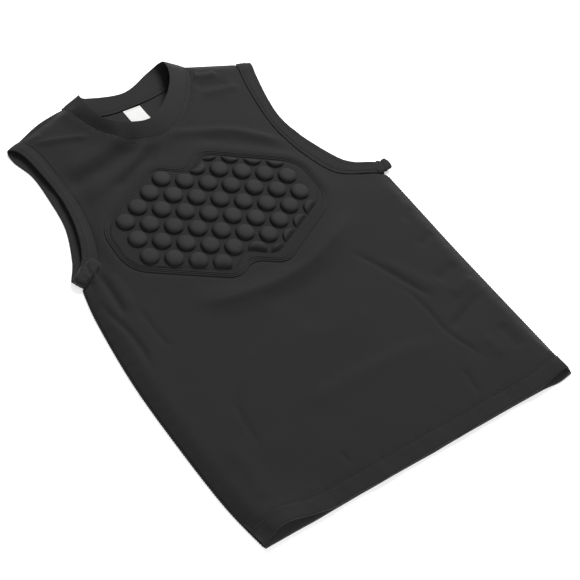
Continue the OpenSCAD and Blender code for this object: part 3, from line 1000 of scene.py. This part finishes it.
def foam_block():
    """The moulded foam: the honeycomb just under the skin, with a flat underside."""
    bm = facing(honeycomb(FOAM_TRIM, drop=SKIN_T + FOAM_GAP, lowest=FOAM_Z + 0.08), True)
    rim = [e for e in bm.edges if e.is_boundary]
    skirt = bmesh.ops.extrude_edge_only(bm, edges=rim)["geom"]
    for v in (g for g in skirt if isinstance(g, bmesh.types.BMVert)):
        v.co.z = FOAM_Z * MM
    bmesh.ops.contextual_create(bm, geom=[e for e in bm.edges if e.is_boundary])
    return bm


foam_domes = piece("foam_domes", foam_block(), foam,
                   replaces=["pad_foam_domes", "pad_foam_base"], outwards=True)
print("foam:", len(foam_domes.data.polygons), "faces")

# %% [markdown]
# ## The pad's border
#
# A flat flange runs round the domes, with three raised rows on it. Each row is a cord under
# the cloth, held by stitches on both sides: a half-round that follows the outline.

# %% The flange
FLANGE_W = 5.9
FLANGE_PAST = 1.0
FLANGE_T = 0.5
FLANGE_STEPS = 420


def around_pad(d, n):
    """Evenly spaced points round the pad, d inside its edge, in the pad's own frame."""
    return spaced(looped(pad_outline(d)), n)


def flange_shape(u, v):
    d = FLANGE_W - v * (FLANGE_W + FLANGE_PAST)
    inner, outer = (sampled(around_pad(k, FLANGE_STEPS), u * FLANGE_STEPS)
                    for k in (FLANGE_W, 0.0))
    share = ((FLANGE_W - d) / FLANGE_W)[:, None]
    x, y = on_pad(*(inner * (1 - share) + outer * share).T)
    z = (FLANGE_Z - 0.1 - (FLANGE_Z - FRONT_Z + 0.5) * smooth((0.3 - d) / 1.2)
         - 0.5 * smooth((d - FLANGE_W + 0.6) / 0.6))
    return np.stack([x, y, z], 1)


flange = piece("pad_flange", facing(merged(laid_grid(FLANGE_STEPS, 14, flange_shape), 0.01),
                                    True), moulded_knit)
thicken(flange, FLANGE_T)


# %% A round bead along a line
def bead(name, line, out, radius, rise, z, columns, rows, uv_scale, node, ends=False):
    """A bead of knit. radius is a function of the place along the line, counted in its
    points, rise is its half height for each mm of radius, and z is where its middle lies."""
    n = len(line) - 1

    def shape(u, v):
        at, turn = u * n, v * 2 * math.pi
        r = radius(at)
        x, y = (sampled(line, at) + sampled(out, at) * (r * np.cos(turn))[:, None]).T
        return np.stack([x, y, z + r * rise * np.sin(turn)], 1)

    bm = merged(laid_grid(columns, rows, shape, uv_scale), 0.005)
    if ends:
        bmesh.ops.holes_fill(bm, edges=[e for e in bm.edges if e.is_boundary], sides=0)
    return piece(name, bm, binding_knit, replaces=[node], outwards=True)


# %% The three raised rows
CORD_GAP = 2.0
CORD_FIRST = 0.8
CORD_R = 0.8
CORD_RISE = 0.6
CORD_STEPS = 560
CORD_BITE = 0.12


def pad_cord(name, row, node):
    path = np.stack(on_pad(*around_pad(CORD_FIRST + row * CORD_GAP, CORD_STEPS).T), 1)
    ahead = ring_run(path[:-1])
    out = looped(np.stack([ahead[:, 1], -ahead[:, 0]], 1) / np.hypot(*ahead.T)[:, None])
    size = lengths(path)[-1]
    print(name, "is", round(size), "mm round")
    bead(name, path, out,
         lambda at: CORD_R * (1 - CORD_BITE * np.abs(np.sin(math.pi * at / 4)) ** 6),
         CORD_RISE / CORD_R, FLANGE_Z - 0.1, CORD_STEPS, 12, (size, 2 * math.pi * CORD_R), node)


for row, where in enumerate(("outer", "middle", "inner")):
    pad_cord(f"{where}_cord", row, f"pad_{where}_cord")

# %% [markdown]
# ## Stitches
#
# Thread is modelled one stitch at a time, because the light catches each stitch. A stitch
# is a tiny ball drawn out along the seam, with few faces, as there are hundreds of them.

# %% Rows of stitches
def stitched(path, gap, length, radius):
    """A bmesh of stitches of a length and a radius, one for every gap along a path."""
    ball = bmesh.new()
    bmesh.ops.create_uvsphere(ball, u_segments=6, v_segments=4, radius=1)
    one = bpy.data.meshes.new("stitch")
    ball.to_mesh(one)
    ball.free()
    ends = spaced(path, max(2, round(lengths(path)[-1] / gap)))
    row = bmesh.new()
    for place, direction in zip((ends[:-1] + ends[1:]) / 2, np.diff(ends, axis=0)):
        turn = Vector(direction).to_track_quat("Z", "Y").to_matrix().to_4x4()
        grow = Matrix.Diagonal((radius * MM, radius * MM, length / 2 * MM, 1))
        move = Matrix.Translation(Vector(place) * MM) @ turn @ grow
        one.transform(move)
        row.from_mesh(one)
        one.transform(move.inverted())
    bpy.data.meshes.remove(one)
    return row


def left_of(path):
    """The direction to the left of a flat path, at each of its points."""
    run = np.gradient(path, axis=0)
    return np.stack([-run[:, 1], run[:, 0]], 1) / np.hypot(*run.T)[:, None]


def on_front(path, lift=0.1):
    """A flat path laid on the front panel, so that half the thread shows."""
    x, y = path[:, 0], path[:, 1]
    return np.stack([x, y, front_height(x, y) + lift], 1)


BODY_STITCH = (3.0, 2.3, 0.28)
BAND_STITCH = (2.6, 2.0, 0.25)
LABEL_STITCH = (2.2, 1.7, 0.2)
ROW_GAP = 4

# %% Hem, neck and band stitches
def sewn(name, paths, stitch, node):
    """All the stitch rows of one seam, as one piece."""
    rows = joined([stitched(path, *stitch) for path in paths])
    print(name, "has", len(rows.faces), "faces")
    return piece(name, rows, thread, replaces=[node])


front_hem, back_hem = [], []
for row in (0, 1):
    y = HEM_Y + HEM_W - 1 + row * ROW_GAP
    x = np.linspace(side_x(RIGHT_SIDE, y) + 3, side_x(LEFT_SIDE, y) - 3, 240)
    front_hem.append(on_front(np.stack([x, np.full(240, y)], 1)))
    back_hem.append(np.array([(x, y, 2.15 - row * 1.05) for x in (-150, 150)]))
sewn("hem_stitches", front_hem, BODY_STITCH, "front_hem_stitch")
sewn("back_hem_stitches", back_hem, BODY_STITCH, "back_hem_stitch")

neck_run = neck_front[STEPS:-STEPS]
sewn("neck_topstitches", [on_front(neck_run - d * left_of(neck_run)) for d in NECK_ROWS_AT],
     BODY_STITCH, "neck_topstitch")


def band_stitches(name, edges, lift, shares, node):
    a, b, face, _ = band_edges(*edges)
    sewn(name, [looped(a + (b - a) * share + face * lift) for share in shares], BAND_STITCH,
         node)


band_stitches("neckband_stitches", NECK, 0.75, NECK_STITCHES, "neckband_stitch")
for where, edges in (("right", RIGHT_ARM), ("left", LEFT_ARM)):
    band_stitches(f"{where}_binding_stitches", edges, 1.25, ARM_STITCHES,
                  f"{where}_armhole_stitch")


# %% Rolled seams at the sides and shoulders
ROLL_R = 0.75
ROLL_Z = 1.15
ROLL_RIPPLE = 0.25


def rolled_seam(name, path, side, node):
    """The two cloths' edges, rolled together and overlocked: a thin, puckered bead."""
    path = open_curve(path)
    line = spaced(path + side * 0.3 * left_of(path), round(lengths(path)[-1]))
    n = len(line) - 1
    bead(name, line, left_of(line),
         lambda at: (ROLL_R * (1 + ROLL_RIPPLE * np.sin(2 * math.pi * at / BAND_STITCH[0]))
                     * smooth(np.minimum(at, n - at) / 3 + 0.2)),
         1.1, ROLL_Z, 3 * n, 10, (n, 5), node, ends=True)


for where, path, side in (("right_side", RIGHT_SIDE, 1), ("left_side", LEFT_SIDE, -1),
                          ("right_shoulder", RIGHT_SHOULDER, 1),
                          ("left_shoulder", LEFT_SHOULDER, 1)):
    rolled_seam(f"{where}_roll", path, side, f"{where}_seam")

# %% [markdown]
# ## Underarm joins
#
# Where a binding closes under the arm, its ends are lapped, folded and sewn down across, so
# the join is a thick little cushion that sticks out past the side seam.

# %% A sewn-down lap
LAP_ROUND = 0.16
LAP_WAIST = 0.16
# Where each crease is across the lap, its width, and its share of the thickness.
LAP_CREASES = [(0.1, 0.11, 0.5), (-0.5, 0.07, 0.16), (0.62, 0.07, 0.14)]


def lap(name, corners, low, high, node):
    """A stuffed four-cornered tab, with a sewn crease across it."""
    bm = bmesh.new()
    bmesh.ops.create_cube(bm, size=2)
    bmesh.ops.subdivide_edges(bm, edges=bm.edges, cuts=13, use_grid_fill=True)
    c = np.array(corners, float)
    for v in bm.verts:
        u, w, h = v.co
        s = (u * (1 - LAP_ROUND * w * w) + 1) / 2
        t = (w * (1 - LAP_ROUND * u * u) + 1) / 2
        plan = (c[0] * (1 - s) * (1 - t) + c[1] * s * (1 - t) + c[2] * s * t
                + c[3] * (1 - s) * t)
        edge = math.sqrt(max(0.0, (1 - u ** 6) * (1 - w ** 6)))
        slant = u + 0.25 * w
        crease = 1 + 0.07 * math.sin(9 * u + 5 * w) * math.cos(7 * w - 3 * u)
        for at, width, depth in LAP_CREASES:
            crease -= depth * bell(slant - at, width)
        plan = plan + (plan - c.mean(axis=0)) * (
            0.07 * math.sin(6 * u + 2) - LAP_WAIST * bell(slant - LAP_CREASES[0][0], 0.16))
        half = (high - low) / 2
        z = (low + high) / 2 + h * half * (0.35 + 0.65 * edge) * crease
        v.co = (plan[0] * MM, plan[1] * MM, z * MM)
    return piece(name, bm, binding_knit, replaces=[node], outwards=True)


lap("right_lap", [(-171, 52), (-142, 66), (-138, 53), (-165, 39)], 2.0, 9.5,
    "right_underarm_join")
lap("left_lap", [(164, 40), (184.5, 41), (184.5, 27), (165, 25)], 1.6, 6.8,
    "left_underarm_join")

# %% [markdown]
# ## The neck label
#
# A blank satin tape, sewn in at its top edge. It is the one piece that moves: it flips up
# about the seam, so it rides on its own body. Its free end curls a little off the cloth.

# %% The label and its stitches
LABEL_X = -4.4
LABEL_W = 19.6
LABEL_L = 22.7
LABEL_TOP = 209.3
LABEL_Z = 1.2
LABEL_T = 0.3
LABEL_CURL = 1.3


def label_shape(u, v):
    x = LABEL_X + (u - 0.5) * LABEL_W
    y = LABEL_TOP - (1 - v) * LABEL_L
    curl = LABEL_CURL * (1 - v) ** 3 * (0.6 + 0.4 * u)
    return np.stack([x, y, LABEL_Z + LABEL_T + curl + 0.12 * np.sin(u * 9) * (1 - v)], 1)


tape = laid_grid(40, 44, label_shape, (LABEL_W, LABEL_L))
neck_tape = piece("neck_tape", facing(tape, True), label_satin, LABEL,
                  ["neck_label"])
thicken(neck_tape, LABEL_T)
label_row = np.array([(LABEL_X + side * (LABEL_W / 2 - 1), LABEL_TOP - 1.6, LABEL_Z + 0.4)
                      for side in (-1, 1)])
piece("label_stitches", stitched(label_row, *LABEL_STITCH), label_satin, LABEL,
      ["label_stitch"])
print("label:", LABEL_W, "by", LABEL_L, "mm")

# %% CAD nodes that stay
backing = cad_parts["pad_backing"].data.materials
backing.clear()
backing.append(lining)

# %% [markdown]
# ## What is soft
#
# The panels are laid sheets, cut to the edges drawn above and carried round the turned hem,
# and the pad is a padded piece. The size and the area, in metres, come from the edges drawn
# above and the turned hem, with a little for the rise of the cloth. The finished mesh is
# compared with this drawing, and not with a real shirt.

# %% [markdown]
# ## Floor, light and camera
#
# The floor is plain and pale. One large soft light stands beyond the neck and to the side,
# so the domes and folds shade towards the viewer, and a pale sky fills the rest.

# %% The floor
FLOOR_HALF, FLOOR_Z = 6, -0.0002
ground = bmesh.new()
bmesh.ops.create_grid(ground, x_segments=1, y_segments=1, size=FLOOR_HALF)
bmesh.ops.translate(ground, verts=ground.verts, vec=(0, 0, FLOOR_Z))
floor = bpy.data.objects.new("floor", bpy.data.meshes.new("floor"))
ground.to_mesh(floor.data)
ground.free()
bpy.context.scene.collection.objects.link(floor)
paper = Finish("paper")
_, spot = paper.place()
paper.surface(Base_Color=paper.tint(paper.noise(spot, 3), (0.93, 0.93), (0.95, 0.95)),
              Roughness=0.95, Specular_IOR_Level=0.0, Emission_Color=(1, 1, 1, 1),
              Emission_Strength=0.5)
floor.data.materials.append(paper.material)


# %% Light
# Where each light is, what it points at, its width in metres and its power in watts.
LIGHTS = {
    "key": ((1.36, 1.26, 2.1), (0, 0, 0), 1.2, 97),
    "fill": ((-1.3, -1.2, 0.75), (0, 0, 0), 1.2, 8),
    "low": ((-0.5, -1.5, 0.42), (-0.1, -0.25, 0), 0.9, 6),
}
SKY_STRENGTH = 0.3
for name, (at, target, size, power) in LIGHTS.items():
    lamp = bpy.data.lights.new(name, "AREA")
    lamp.shape = "DISK"
    lamp.size = size
    lamp.energy = power
    held = bpy.data.objects.new(name, lamp)
    held.location = at
    held.rotation_euler = (Vector(target) - Vector(at)).to_track_quat("-Z", "Y").to_euler()
    bpy.context.scene.collection.objects.link(held)

sky = bpy.data.worlds.new("sky")
bpy.context.scene.world = sky
sky.use_nodes = True
background = sky.node_tree.nodes["Background"].inputs
background["Color"].default_value = (1, 1, 1, 1)
background["Strength"].default_value = SKY_STRENGTH
bpy.context.scene.view_settings.view_transform = "Standard"

# %% Camera
CAMERA_AT = Vector((-0.6833, -0.6018, 1.0342))
CAMERA_RIGHT = Vector((0.7818, -0.5906, 0.1997)).normalized()
CAMERA_BACK = Vector((-0.5034, -0.4091, 0.7611)).normalized()
CAMERA_UP = CAMERA_BACK.cross(CAMERA_RIGHT).normalized()
lens = bpy.data.cameras.new("camera")
lens.lens = 93.1
lens.sensor_width = 36
camera = bpy.data.objects.new("camera", lens)
bpy.context.scene.collection.objects.link(camera)
aim = Matrix((CAMERA_RIGHT, CAMERA_UP, CAMERA_BACK)).transposed().to_4x4()
camera.matrix_world = Matrix.Translation(CAMERA_AT) @ aim
bpy.context.scene.camera = camera
